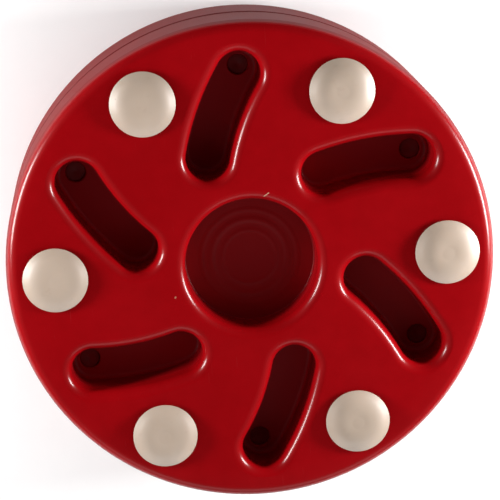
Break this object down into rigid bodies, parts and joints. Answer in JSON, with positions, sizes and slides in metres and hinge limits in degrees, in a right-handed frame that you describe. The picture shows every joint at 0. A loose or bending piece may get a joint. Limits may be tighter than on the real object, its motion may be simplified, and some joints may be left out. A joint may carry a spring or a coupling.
{
  "type": "roller hockey puck",
  "caption": "Flat round roller hockey puck in two moulded halves, with headed glide runners that float in their bores, swirl pockets and a central recess.",
  "frame": {"origin": "on the puck's axis, in the plane that the rear runner heads rest on", "axes": "+Z along the puck's axis from the rear face to the front face; +X towards runner 1"},
  "size_m": [0.0762, 0.0762, 0.0254],
  "materials": {
    "red_body": "glossy moulded faces, finely frosted rim",
    "ivory_runner": "satin",
    "dark_red_dowel": "satin"
  },
  "bodies": {
    "puck_body": {"front_half": "red_body", "rear_half": "red_body", "dowel_1": "dark_red_dowel", "dowel_2": "dark_red_dowel", "dowel_3": "dark_red_dowel", "dowel_4": "dark_red_dowel", "dowel_5": "dark_red_dowel", "dowel_6": "dark_red_dowel"},
    "runner_1": {"runner_1_sleeve": "ivory_runner", "runner_1_plug": "ivory_runner"},
    "runner_2": {"runner_2_sleeve": "ivory_runner", "runner_2_plug": "ivory_runner"},
    "runner_3": {"runner_3_sleeve": "ivory_runner", "runner_3_plug": "ivory_runner"},
    "runner_4": {"runner_4_sleeve": "ivory_runner", "runner_4_plug": "ivory_runner"},
    "runner_5": {"runner_5_sleeve": "ivory_runner", "runner_5_plug": "ivory_runner"},
    "runner_6": {"runner_6_sleeve": "ivory_runner", "runner_6_plug": "ivory_runner"}
  },
  "joints": [
    {"name": "runner_1_float", "type": "slide", "parent": "puck_body", "child": "runner_1", "axis": [0, 0, 1], "range_m": [-0.0003, 0]},
    {"name": "runner_2_float", "type": "slide", "parent": "puck_body", "child": "runner_2", "axis": [0, 0, 1], "range_m": [-0.0003, 0]},
    {"name": "runner_3_float", "type": "slide", "parent": "puck_body", "child": "runner_3", "axis": [0, 0, 1], "range_m": [-0.0003, 0]},
    {"name": "runner_4_float", "type": "slide", "parent": "puck_body", "child": "runner_4", "axis": [0, 0, 1], "range_m": [-0.0003, 0]},
    {"name": "runner_5_float", "type": "slide", "parent": "puck_body", "child": "runner_5", "axis": [0, 0, 1], "range_m": [-0.0003, 0]},
    {"name": "runner_6_float", "type": "slide", "parent": "puck_body", "child": "runner_6", "axis": [0, 0, 1], "range_m": [-0.0003, 0]}
  ]
}
